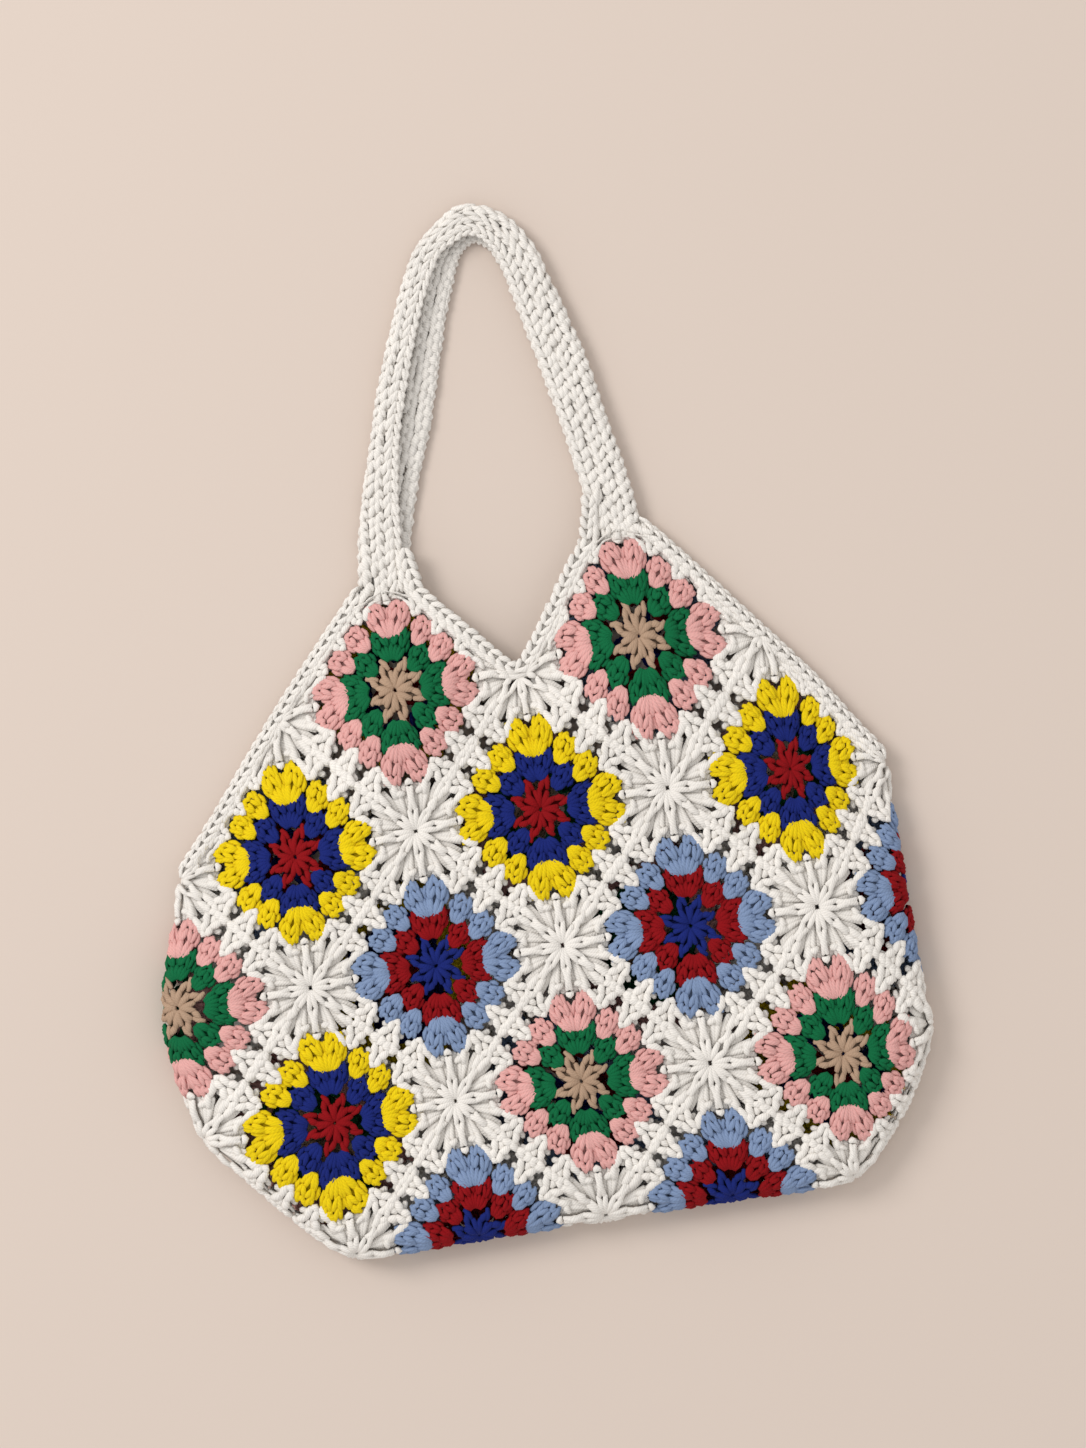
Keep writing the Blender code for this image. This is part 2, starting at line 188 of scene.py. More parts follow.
# Yarn colours in linear light, and the share of each colour that painted shade leaves deep between
# the strands
YARNS = {
    "white": ((0.84, 0.81, 0.77), 0.96),
    "pink": ((0.735, 0.39, 0.37), 0.55),
    "green": ((0.0010, 0.134, 0.046), 0.18),
    "tan": ((0.43, 0.295, 0.205), 0.26),
    "yellow": ((0.80, 0.595, 0.003), 0.50),
    "navy": ((0.0065, 0.017, 0.165), 0.14),
    "red": ((0.25, 0.001, 0.004), 0.16),
    "sky": ((0.215, 0.298, 0.475), 0.55),
}


def smooth(x):
    """Rises from 0 to 1 without a kink at either end."""
    x = np.clip(x, 0.0, 1.0)
    return x * x * (3.0 - 2.0 * x)


# The bag's surface


def fold_lines(p):
    """Distances inside the two sides, the bottom and the two lower corners; y runs down here."""
    x, y = p[:, 0], p[:, 1]
    slant = math.hypot(HALF_W, HALF_H)
    low = (y - 2 * HALF_H) * HALF_W
    return np.stack([
        x + 3 * HALF_W,
        3 * HALF_W - x,
        3 * HALF_H - y,
        ((x + 3 * HALF_W) * HALF_H - low) / slant,
        ((3 * HALF_W - x) * HALF_H - low) / slant,
    ])


def inner_outline():
    """The fold outline moved inwards by the corner radius."""
    slant = math.hypot(HALF_W, HALF_H)
    x = 3 * HALF_W - CORNER_R
    y = 3 * HALF_H - CORNER_R
    y_side = 2 * HALF_H + (CORNER_R * HALF_H - CORNER_R * slant) / HALF_W
    x_low = 3 * HALF_W - (CORNER_R * slant + (HALF_H - CORNER_R) * HALF_W) / HALF_H
    return np.array([(-x, -1.0), (-x, y_side), (-x_low, y), (x_low, y), (x, y_side), (x, -1.0)])


def fold_distance(p):
    """Distance inside the rounded fold line, the way inwards, and the distance if not rounded."""
    plain = fold_lines(p).min(axis=0)
    outline = inner_outline()
    best = np.full(len(p), np.inf)
    inward = np.zeros_like(p)
    for a, b in zip(outline[:-1], outline[1:]):
        run = b - a
        along = np.clip(((p - a) @ run) / (run @ run), 0.0, 1.0)
        way = a + along[:, None] * run - p
        far = np.hypot(way[:, 0], way[:, 1])
        nearer = far < best
        best = np.where(nearer, far, best)
        inward = np.where(nearer[:, None], way, inward)
    inside = plain >= CORNER_R
    inward = np.where(inside[:, None], 0.0, inward / np.maximum(best, 1e-9)[:, None])
    return np.where(inside, plain, CORNER_R - best), inward, plain


def panel_shift(p):
    """How far the front has slipped round the folds against the middle of the bag."""
    i, j = p[:, 0] / HALF_W, p[:, 1] / HALF_H
    turn = TURN * smooth((j + 0.15) / 1.3) * (1.0 - smooth((j - 1.2) / 1.3))
    drop = DROP * smooth((j - 0.3) / 2.0) * (1.0 - smooth((np.abs(i) - 1.7) / 1.5))
    return np.stack([turn, -drop], axis=1)


def half_space(p, d):
    """Half of the height between the middle surfaces of front and back."""
    i, j = p[:, 0] / HALF_W, p[:, 1] / HALF_H
    slope = smooth((3.0 + j - np.abs(i)) * SIDE_REACH / SLOPE_REACH)
    mouth = smooth((np.abs(i) + j + 1.0) * SIDE_REACH / MOUTH_REACH)
    open_share = MOUTH_SHARE + (1.0 - MOUTH_SHARE) * mouth
    tall = SEAM_HALF + (CROWN_HALF - SEAM_HALF) * slope * open_share
    fold = FOLD_HALF_TOP + (FOLD_HALF - FOLD_HALF_TOP) * smooth(p[:, 1] / FOLD_RISE)
    return tall + (fold - tall) * (1.0 - smooth(d / FOLD_REACH))


def bag_point(i, j, back):
    """Place on the wall's middle surface for a grid position; past a fold it runs on round it."""
    over_left, over_right, over_low = i < -3.0, i > 3.0, j > 3.0
    back = np.full(i.shape, back) ^ over_left ^ over_right ^ over_low
    i = np.where(over_left, -6.0 - i, np.where(over_right, 6.0 - i, i))
    j = np.where(over_low, 6.0 - j, j)
    p = np.stack([i * HALF_W, j * HALF_H], axis=1)
    d, inward, plain = fold_distance(p)
    hold = (1.0 - smooth(plain / CORNER_R))[:, None]
    shift = panel_shift(p)
    across = (shift * inward).sum(axis=1)[:, None] * inward
    face = np.where(back, -1.0, 1.0)
    p = p + (plain - d)[:, None] * inward
    p = p + face[:, None] * (shift * (1.0 - hold) + across * hold)
    d, inward, plain = fold_distance(p)
    face = face * np.where(d < 0.0, -1.0, 1.0)
    p = p + (np.abs(d) - d)[:, None] * inward
    d = np.abs(d)
    bend = np.clip(d / FOLD_R, 0.0, math.pi / 2)
    taken = (math.pi / 2 - 1.0) * FOLD_R + FOLD_R * (1.0 - np.cos(bend)) - d
    p = p + np.where(d < FOLD_R * math.pi / 2, taken, 0.0)[:, None] * inward
    z = WALL / 2 + half_space(p, d) * (1.0 + face * np.sin(bend))
    from_slope = 3.0 + p[:, 1] / HALF_H - np.abs(p[:, 0]) / HALF_W
    front = smooth(face * np.sin(bend)) * smooth(from_slope * 0.8)
    puff = (1 + np.cos(math.pi * (i + j))) * (1 + np.cos(math.pi * (i - j))) / 4
    wave = np.sin(p[:, 0] / WAVE_ACROSS + 0.6) * np.sin(p[:, 1] / WAVE_DOWN - 0.4)
    z = z + front * (DOME * puff + WAVE * wave)
    p = p - panel_shift(p)
    gi, gj = p[:, 0] / HALF_W, p[:, 1] / HALF_H
    x, y = p[:, 0].copy(), -p[:, 1]
    for ci, cj, reach, right, up in NUDGES:
        pull = np.exp(-((gi - ci) ** 2 + (gj - cj) ** 2) / (2 * reach * reach))
        x = x + right * HALF_W * pull
        y = y + up * HALF_H * pull
    return np.stack([x, y, z], axis=1)


def pressed(verts):
    """Yarn low down is pressed flat, so that it lies on the floor and not through it."""
    low = PRESS_FROM - verts[:, 2]
    verts[:, 2] = np.where(low > 0, PRESS_FROM - low * PRESS_SHARE, verts[:, 2])
    return verts


def bag_frame(i, j, back):
    """Place on the middle surface and the outward direction there."""
    step = 1e-3
    du = bag_point(i + step, j, back) - bag_point(i - step, j, back)
    dv = bag_point(i, j + step, back) - bag_point(i, j - step, back)
    out = np.cross(dv, du) * (-1.0 if back else 1.0)
    out = out / np.linalg.norm(out, axis=1)[:, None]
    return bag_point(i, j, back), out


# Strands of yarn and the stitches made of them

# A stitch is in millimetres: x across, y onwards, z out of the cloth. In each maker, off holds
# the small offsets that make one copy of the stitch differ from the next.

# Rings of a strand: share of its length, and of its full width
RINGS = ((0.07, 0.68), (0.5, 1.0), (0.93, 0.68))


class Strands:
    """Collects tapering strands; each face corner knows its place round and along its strand."""

    def __init__(self):
        self.verts, self.faces, self.uvs = [], [], []

    def add(self, a, b, width, thick, bow=0.0, arch=0.0, sides=6):
        """A strand from a to b: bow bends its middle sideways and arch lifts it."""
        a, b = np.array(a, float), np.array(b, float)
        run = b - a
        length = np.linalg.norm(run)
        run = run / length
        side = np.cross((0.0, 0.0, 1.0), run)
        side = side / max(np.linalg.norm(side), 1e-6)
        up = np.cross(run, side)
        first = len(self.verts)
        self.verts.append(a)
        for t, full in RINGS:
            lift = 4 * t * (1 - t)
            centre = a + (b - a) * t + side * bow * lift + up * arch * lift
            for k in range(sides):
                angle = 2 * math.pi * (k + 0.5) / sides
                across = side * math.cos(angle) * width / 2 * full
                self.verts.append(centre + across + up * math.sin(angle) * thick / 2 * full)
        self.verts.append(b)
        last = len(self.verts) - 1
        # Lengths along the strand for its UV map, in centimetres
        marks = [0.0] + [t * length / 10 for t, _ in RINGS] + [length / 10]
        for k in range(sides):
            n = (k + 1) % sides
            u0, u1 = k / sides, (k + 1) / sides
            self.faces.append((first, first + 1 + n, first + 1 + k))
            self.uvs += [((u0 + u1) / 2, marks[0]), (u1, marks[1]), (u0, marks[1])]
            for r in range(len(RINGS) - 1):
                low = first + 1 + r * sides
                high = low + sides
                v0, v1 = marks[r + 1], marks[r + 2]
                self.faces.append((low + k, low + n, high + n, high + k))
                self.uvs += [(u0, v0), (u1, v0), (u1, v1), (u0, v1)]
            top = first + 1 + (len(RINGS) - 1) * sides
            self.faces.append((top + k, top + n, last))
            self.uvs += [(u0, marks[-2]), (u1, marks[-2]), ((u0 + u1) / 2, marks[-1])]

    def build(self, name, group):
        """An object of these strands, in a collection."""
        mesh = bpy.data.meshes.new(name)
        mesh.from_pydata([tuple(v) for v in self.verts], [], self.faces)
        layer = mesh.uv_layers.new(name="strand")
        layer.data.foreach_set("uv", np.array(self.uvs, float).ravel())
        obj = bpy.data.objects.new(name, mesh)
        group.objects.link(obj)
        return obj


def cluster(rng):
    """Three trebles drawn together: narrow below, round above, loops lying over each other."""
    yarn = Strands()
    off = rng.normal(0, 0.32, 40)
    for k in (-1, 0, 1):
        yarn.add((k * 1.0, 2.0, -0.9), (k * 3.3, 12.6 - abs(k), -1.1), 4.4, 2.4, sides=4)
    for k, x in enumerate((-3.9, -1.35, 1.35, 3.9)):
        low = (x * 0.16, -0.5, 1.0)
        top = (x + off[k], 7.4 - 0.22 * abs(x) + off[k + 4], 1.15 - 0.16 * abs(x))
        yarn.add(low, top, 3.2, 2.8, bow=-0.12 * x, arch=0.7)
    for k in (-1, 1):
        own = 8 + 14 * (k + 1) // 2
        yarn.add(
            (k * 4.5, 4.4 + off[own], -0.2), (k * 5.1, 10.4 + off[own + 1], -0.1),
            3.1, 2.6, bow=-0.5 * k,
        )
        yarn.add(
            (k * 4.2 + off[own + 2], 10.9, 0.9), (k * 2.4, 5.6 + off[own + 3], 1.6),
            3.0, 2.5, arch=0.3,
        )
        yarn.add(
            (k * 0.6 + off[own + 4], 10.9, 1.6), (k * 2.2, 5.9 + off[own + 5], 1.9),
            2.9, 2.5, arch=0.3,
        )
        yarn.add(
            (k * 4.8 + off[own + 6], 13.5, -0.5), (k * 3.3, 9.0 + off[own + 7], 1.1),
            3.0, 2.5, arch=0.4,
        )
        yarn.add(
            (k * 1.7 + off[own + 8], 15.0, -0.3), (k * 3.0, 9.8 + off[own + 9], 1.5),
            2.9, 2.5, bow=0.3 * k, arch=0.5,
        )
    yarn.add((-3.2, 14.0 + off[36], -0.2), (1.4, 11.6 + off[37], 1.6), 2.8, 2.3, arch=0.4)
    yarn.add((3.3, 13.8 + off[38], -0.2), (-0.6, 10.6 + off[39], 1.8), 2.8, 2.3, arch=0.4)
    return yarn


def lattice(rng):
    """Last round, along a side: a thick foot that forks to the join, and the join's strands."""
    yarn = Strands()
    off = rng.normal(0, 0.5, 24)
    yarn.add((2.1, 0.3, 0.7), (-2.2, 0.2 + off[0], 0.9), 3.7, 3.4, bow=1.2, arch=0.3)
    yarn.add((-1.4, -0.6 + off[1], 0.6), (-1.5, 6.4 + off[2], 1.0), 4.3, 3.7, bow=0.4, arch=0.5)
    yarn.add((1.5, -0.6 + off[3], 0.6), (1.6, 6.0 + off[4], 0.9), 4.3, 3.7, bow=-0.4, arch=0.5)
    yarn.add((-1.1, 4.4, 0.8), (-4.8 + off[5], 10.4, 0.7), 4.5, 3.8, bow=0.5, arch=0.5)
    yarn.add((1.0, 4.2, 0.7), (4.9 + off[6], 10.4, 0.8), 4.5, 3.8, bow=-0.5, arch=0.5)
    yarn.add((0.0 + off[7], 6.0, 0.1), (off[8], 12.0, 0.3), 4.2, 3.2, arch=0.3)
    yarn.add((-8.4, 12.2, 0.4), (-2.6 + off[13], 10.0 + off[14], 1.2), 4.4, 3.7, bow=0.5, arch=0.4)
    yarn.add((-4.0 + off[15], 10.2, 1.1), (1.6, 12.6, 0.6), 4.2, 3.6, bow=0.5, arch=0.4)
    yarn.add((-1.2, 12.4, 0.5), (4.2 + off[16], 10.0, 1.2), 4.4, 3.7, bow=0.5, arch=0.4)
    yarn.add((2.9 + off[17], 10.0, 1.0), (8.4, 12.2, 0.4), 4.2, 3.6, bow=0.5, arch=0.4)
    yarn.add((-7.0, 4.6, -1.4), (7.0, 4.8 + off[18], -1.4), 6.0, 2.0, bow=-1.0, sides=4)
    yarn.add((-8.0, 10.6, -1.3), (0.6, 9.4, -1.4), 6.4, 2.2, sides=4)
    yarn.add((-0.6, 9.4, -1.4), (8.0, 10.6, -1.3), 6.4, 2.2, sides=4)
    return yarn


def corner(rng):
    """Last round, in a corner: a long loop from the middle of the white star that four squares
    share, half a loop along each side, the feet between them and strands deep in the gaps."""
    yarn = Strands()
    for k in (-1, 1):
        off = rng.normal(0, 0.5, 24)
        yarn.add(
            (k * 0.4, 0.6, 0.8), (k * 2.1 + off[14] * 0.3, 11.8 + off[0], 1.6),
            3.6, 3.3, bow=0.3 * k, arch=0.7,
        )
        yarn.add(
            (k * 2.1, 9.6 + off[1], 1.4), (k * 1.2, 22.2, 1.2),
            4.0, 3.5, bow=1.9 * k, arch=0.7,
        )
        along = np.array([k * 0.7071, 0.7071, 0.0])
        inner = np.array([-k * 0.7071, 0.7071, 0.0])
        low = along * 0.9 + inner * 0.6 + (0, 0, 0.7)
        mid = along * (11.6 + off[2]) + inner * (1.8 + off[3] * 0.3) + (0, 0, 1.5)
        yarn.add(low, mid, 3.6, 3.3, bow=-0.3 * k, arch=0.7)
        low = along * (9.8 + off[4]) + inner * 2.0 + (0, 0, 1.2)
        top = along * 20.0 + inner * (1.1 + off[5] * 0.3) + (0, 0, 1.2)
        yarn.add(low, top, 4.0, 3.5, bow=-1.7 * k, arch=0.7)
        low = along * 17.6 + inner * 1.5 + (0, 0, 0.5)
        top = along * 27.0 + inner * (2.8 + off[8] * 0.5) + (0, 0, 0.9)
        yarn.add(low, top, 4.4, 3.8, bow=-0.5 * k, arch=0.5)
        yarn.add(
            (k * 7.8 + off[9] * 0.4, 16.4, -0.3), (k * 9.0 + off[10] * 0.5, 24.0, 0.5),
            4.6, 3.8, bow=0.5 * k, arch=0.4,
        )
        yarn.add(
            (k * 8.8, 21.8 + off[11], 0.4), (k * 13.2, 30.6, 0.7),
            4.6, 3.7, bow=-0.6 * k, arch=0.4,
        )
        yarn.add(
            (k * 2.6, 18.6 + off[12], 0.2), (k * 8.4, 19.8 + off[13], 0.4),
            3.9, 3.3, bow=0.5, arch=0.4,
        )
        yarn.add((k * 2.8, 24.0, -1.4), (k * 2.4, 3.0, -1.6), 7.4, 2.4, sides=4)
        yarn.add((k * 9.4, 25.6, -1.9), (k * 3.8, 5.0, -2.0), 7.4, 1.8, sides=4)
        yarn.add((k * 6.4 + off[6] * 0.4, 25.0, -0.9), (k * 3.2, 6.0, -0.9), 3.9, 3.0, bow=0.5 * k)
        yarn.add(
            (k * 10.6 + off[7] * 0.4, 22.6, -0.9), (k * 5.0, 8.0, -0.9),
            3.9, 3.0, bow=-0.5 * k,
        )
        yarn.add((k * 15.6, 21.6, -1.4), (k * 4.6, 5.0, -1.8), 7.4, 2.0, sides=4)
    yarn.add((-2.2, 23.0, 0.9), (2.2, 23.2, 1.0), 3.7, 3.3, bow=1.0, arch=0.3)
    return yarn


def petal(rng):
    """An arm of the middle star: two strands from the centre, their tip, and one below."""
    yarn = Strands()
    off = rng.normal(0, 0.35, 10)
    yarn.add((-0.4, 0.6, 0.3), (-2.0 + off[0], 10.2 + off[1], 1.1), 3.7, 3.4, bow=0.5, arch=0.8)
    yarn.add((0.4, 0.6, 0.3), (1.8 + off[2], 9.6 + off[3], 1.0), 3.7, 3.4, bow=-0.5, arch=0.8)
    yarn.add((-1.8, 7.6, 1.0), (0.5 + off[4], 13.8 + off[5], 1.0), 3.5, 3.0, bow=0.5, arch=0.4)
    yarn.add(
        (1.5 + off[6], 9.2, 0.9), (-0.3 + off[7], 16.4 + off[8], 0.8),
        3.2, 2.8, bow=-0.4, arch=0.3,
    )
    yarn.add((0.0, 2.0, -1.2), (0.2, 12.0, -1.3), 4.4, 2.2, sides=4)
    return yarn


def web(rng):
    """A strand low down that runs on from one cluster to the next."""
    yarn = Strands()
    off = rng.normal(0, 0.3, 4)
    yarn.add((-5.6, 0.8 + off[0], -1.5), (5.6, 0.8 + off[1], -1.5), 4.6, 1.8, bow=0.9, sides=4)
    return yarn


def cord(rng):
    """A long stitch of an edging, with its under strand."""
    yarn = Strands()
    off = rng.normal(0, 0.3, 4)
    yarn.add((off[0], -1.4, 0.4), (0.3 + off[1], 7.4, 0.4), 3.7, 3.2, bow=0.5 + off[2], arch=0.4)
    yarn.add((0.4, -1.6, -1.0), (0.4 + off[3], 7.0, -1.0), 5.6, 2.2, sides=4)
    return yarn


def chain(rng):
    """One link of the chain along an edge: two strands that meet in a V."""
    yarn = Strands()
    off = rng.normal(0, 0.3, 6)
    yarn.add((-2.5 + off[0], 5.4, 0.4), (0.1, -1.5 + off[1], 0.9), 3.5, 3.1, bow=-0.6, arch=0.5)
    yarn.add((2.5 + off[2], 5.6, 0.4), (0.5, -1.3 + off[3], 1.1), 3.5, 3.1, bow=0.6, arch=0.5)
    yarn.add((0.2, -1.6, -0.8), (0.2 + off[4], 6.2, -0.8), 5.8, 2.4, sides=4)
    return yarn


def rib(rng):
    """One stitch of the strap: two plump strands leaning together, a bar behind, one below."""
    yarn = Strands()
    off = rng.normal(0, 0.35, 10)
    yarn.add(
        (-1.7 + off[0], -1.4 + off[1], 0.3), (0.8 + off[2], 5.8 + off[3], 0.9),
        4.0, 3.3, bow=0.4, arch=0.4,
    )
    yarn.add(
        (2.4 + off[4], 0.6 + off[5], 0.1), (0.8, 6.4 + off[6], 0.6),
        3.5, 3.0, bow=-0.3, arch=0.4,
    )
    yarn.add((-2.8, 3.0 + off[7], -0.4), (2.8, 3.8 + off[8], -0.3), 3.8, 3.0, arch=0.4)
    yarn.add((0.2, -1.8, -0.8), (0.2, 6.4, -0.8), 7.4, 2.6, sides=4)
    return yarn


def lip(rng):
    """One scallop of the strap's edge."""
    yarn = Strands()
    off = rng.normal(0, 0.25, 6)
    yarn.add((0.4, -1.6, 0.5), (0.9 + off[0], 5.6 + off[1], 0.6), 3.1, 2.8, bow=1.3, arch=0.3)
    yarn.add((1.4, 0.8 + off[2], -0.5), (1.0 + off[3], 7.2, -0.6), 3.0, 2.6, bow=1.2)
    return yarn


def stitch_set(name, maker, count, seed):
    """A collection of slightly different makings of one stitch."""
    group = bpy.data.collections.new(name)
    for k in range(count):
        maker(np.random.default_rng(seed + k)).build(f"{name}_{k}", group)
    return group


def placing_tree():
    """Geometry Nodes that put stitches on points, turned, sized and picked by their values."""
    tree = bpy.data.node_groups.new("place_stitches", "GeometryNodeTree")
    interface = tree.interface
    interface.new_socket("Geometry", in_out="INPUT", socket_type="NodeSocketGeometry")
    interface.new_socket("Stitches", in_out="INPUT", socket_type="NodeSocketCollection")
    interface.new_socket("Yarn", in_out="INPUT", socket_type="NodeSocketMaterial")
    loose = interface.new_socket("Looseness", in_out="INPUT", socket_type="NodeSocketFloat")
    loose.default_value = 0.06
    seed = interface.new_socket("Seed", in_out="INPUT", socket_type="NodeSocketInt")
    seed.default_value = 1
    interface.new_socket("Geometry", in_out="OUTPUT", socket_type="NodeSocketGeometry")
    new, link = tree.nodes.new, tree.links.new
    into, out = new("NodeGroupInput"), new("NodeGroupOutput")

    def own(name, kind):
        """The point's own value of this name."""
        node = new("GeometryNodeInputNamedAttribute")
        node.data_type = kind
        node.inputs["Name"].default_value = name
        return node.outputs["Attribute"]

    pick = new("GeometryNodeCollectionInfo")
    pick.inputs["Separate Children"].default_value = True
    pick.inputs["Reset Children"].default_value = True
    link(into.outputs["Stitches"], pick.inputs["Collection"])
    chance = new("FunctionNodeRandomValue")
    chance.data_type = "FLOAT"
    chance.inputs[2].default_value = -1.0
    chance.inputs[3].default_value = 1.0
    link(into.outputs["Seed"], chance.inputs["Seed"])
    sway = new("ShaderNodeMath")
    sway.operation = "MULTIPLY_ADD"
    link(chance.outputs[1], sway.inputs[0])
    link(into.outputs["Looseness"], sway.inputs[1])
    link(own("turn", "FLOAT"), sway.inputs[2])
    turn = new("ShaderNodeCombineXYZ")
    link(sway.outputs[0], turn.inputs["Z"])
    place = new("GeometryNodeInstanceOnPoints")
    place.inputs["Pick Instance"].default_value = True
    link(into.outputs["Geometry"], place.inputs["Points"])
    link(pick.outputs[0], place.inputs["Instance"])
    link(own("kind", "INT"), place.inputs["Instance Index"])
    link(turn.outputs[0], place.inputs["Rotation"])
    link(own("size", "FLOAT_VECTOR"), place.inputs["Scale"])
    real = new("GeometryNodeRealizeInstances")
    link(place.outputs[0], real.inputs[0])
    dye_and_shade = new("GeometryNodeSetMaterial")
    link(real.outputs[0], dye_and_shade.inputs["Geometry"])
    link(into.outputs["Yarn"], dye_and_shade.inputs["Material"])
    link(dye_and_shade.outputs[0], out.inputs[0])
    return tree


def read(items, name, width=1, kind=float):
    """One property of all these items, as a flat array."""
    values = np.empty(len(items) * width, kind)
    items.foreach_get(name, values)
    return values


class Cloth:
    """Flat arrays of placed stitches, ready to be carried on to a surface."""

    def __init__(self, parts):
        base, loops = 0, 0
        rows = []
        for number, mesh in enumerate(parts):
            start = read(mesh.polygons, "loop_start", kind=np.int32)
            rows.append((
                read(mesh.vertices, "co", 3).reshape(-1, 3),
                read(mesh.loops, "vertex_index", kind=np.int32) + base,
                start + loops,
                read(mesh.polygons, "loop_total", kind=np.int32),
                read(mesh.attributes["strand"].data, "vector", 2),
                read(mesh.attributes["shade"].data, "value"),
                np.full(len(start), number, np.int32),
            ))
            base += len(mesh.vertices)
            loops += len(mesh.loops)
        columns = [np.concatenate(column) for column in zip(*rows)]
        self.verts, self.corners, self.starts, self.totals = columns[:4]
        self.uvs, self.shades, self.rounds = columns[4:]

    def piece(self, name, verts, yarns):
        """A finished object with these places for the cloth's vertices."""
        verts = pressed(verts)
        mesh = bpy.data.meshes.new(name)
        mesh.vertices.add(len(verts))
        mesh.vertices.foreach_set("co", verts.astype(np.float32).ravel())
        mesh.loops.add(len(self.corners))
        mesh.loops.foreach_set("vertex_index", self.corners)
        mesh.polygons.add(len(self.starts))
        mesh.polygons.foreach_set("loop_start", self.starts)
        mesh.polygons.foreach_set("loop_total", self.totals)
        mesh.polygons.foreach_set("material_index", self.rounds)
        mesh.polygons.foreach_set("use_smooth", np.ones(len(self.starts), bool))
        layer = mesh.uv_layers.new(name="strand")
        layer.data.foreach_set("uv", self.uvs.astype(np.float32))
        shade = mesh.attributes.new("shade", "FLOAT", "POINT")
        shade.data.foreach_set("value", self.shades.astype(np.float32))
        # Painted light: the colour is kept whole on both faces of the cloth, and painted shade
        # darkens it between them
        painted_light = mesh.attributes.new("painted_light", "FLOAT", "POINT")
        high = self.verts[:, 2]
        outer, inner = smooth((high + 2.2) / 3.4), smooth((-1.5 - high) / 0.9)
        painted_light.data.foreach_set("value", np.maximum(outer, inner).astype(np.float32))
        for yarn in yarns:
            mesh.materials.append(yarn)
        mesh.update()
        mesh.validate()
        obj = bpy.data.objects.new(name, mesh)
        bpy.context.scene.collection.objects.link(obj)
        return obj


def placed(tree, points, stitches, yarn, looseness, seed):
    """A plain mesh of stitches put on points of x, y, turn, width, length and kind."""
    points = np.array(points, float)
    mesh = bpy.data.meshes.new("points")
    mesh.from_pydata([(x, y, 0.0) for x, y in points[:, :2]], [], [])
    rng = np.random.default_rng(seed + 500)

    def value(name, kind, values):
        """A value of this name for each point."""
        data = mesh.attributes.new(name, kind, "POINT").data
        data.foreach_set("vector" if kind == "FLOAT_VECTOR" else "value", values)

    size = np.stack([points[:, 3], points[:, 4], np.ones(len(points))], axis=1)
    value("turn", "FLOAT", points[:, 2])
    value("size", "FLOAT_VECTOR", size.ravel())
    value("kind", "INT", points[:, 5].astype(np.int32))
    value("shade", "FLOAT", rng.uniform(0.0, 1.0, len(points)))
    obj = bpy.data.objects.new("points", mesh)
    bpy.context.scene.collection.objects.link(obj)
    modifier = obj.modifiers.new("stitches", "NODES")
    modifier.node_group = tree
    inputs = [item for item in tree.interface.items_tree if item.in_out == "INPUT"]
    sockets = {item.name: item.identifier for item in inputs}
    modifier[sockets["Stitches"]] = stitches
    modifier[sockets["Yarn"]] = yarn
    modifier[sockets["Looseness"]] = looseness
    modifier[sockets["Seed"]] = seed
    depsgraph = bpy.context.evaluated_depsgraph_get()
    result = bpy.data.meshes.new_from_object(obj.evaluated_get(depsgraph), depsgraph=depsgraph)
    obj.modifiers.clear()
    bpy.data.objects.remove(obj)
    return result


# Yarn


class Socket:
    """A shader value that can be used in ordinary Python sums."""

    def __init__(self, tree, socket=None):
        self.tree, self.socket = tree, socket

    def node(self, kind, output, settings, inputs):
        """A node of this kind: its settings first, then a value or a link for its inputs."""
        node = self.tree.nodes.new(kind)
        for key, value in settings.items():
            setattr(node, key, value)
        for key, value in inputs.items():
            if isinstance(value, Socket):
                self.tree.links.new(value.socket, node.inputs[key])
            else:
                node.inputs[key].default_value = value
        return Socket(self.tree, node.outputs[output])

    def math(self, operation, *values):
        """A Math node of this operation on the values."""
        return self.node("ShaderNodeMath", 0, {"operation": operation}, dict(enumerate(values)))

    def feed(self, target):
        """Links this value to a socket of a node that is already there."""
        self.tree.links.new(self.socket, target)

    def __add__(self, other):
        return self.math("ADD", self, other)

    __radd__ = __add__

    def __mul__(self, other):
        return self.math("MULTIPLY", self, other)

    __rmul__ = __mul__

    def __sub__(self, other):
        return self.math("SUBTRACT", self, other)

    def __rsub__(self, other):
        return self.math("SUBTRACT", other, self)


# Yarn patterns: plies round a strand and along each centimetre of it, and the noise scales
PLIES = 5.0
PLY_PITCH = 6.5
FIBRE_SCALE = 1100.0
PATCH_SCALE = 60.0


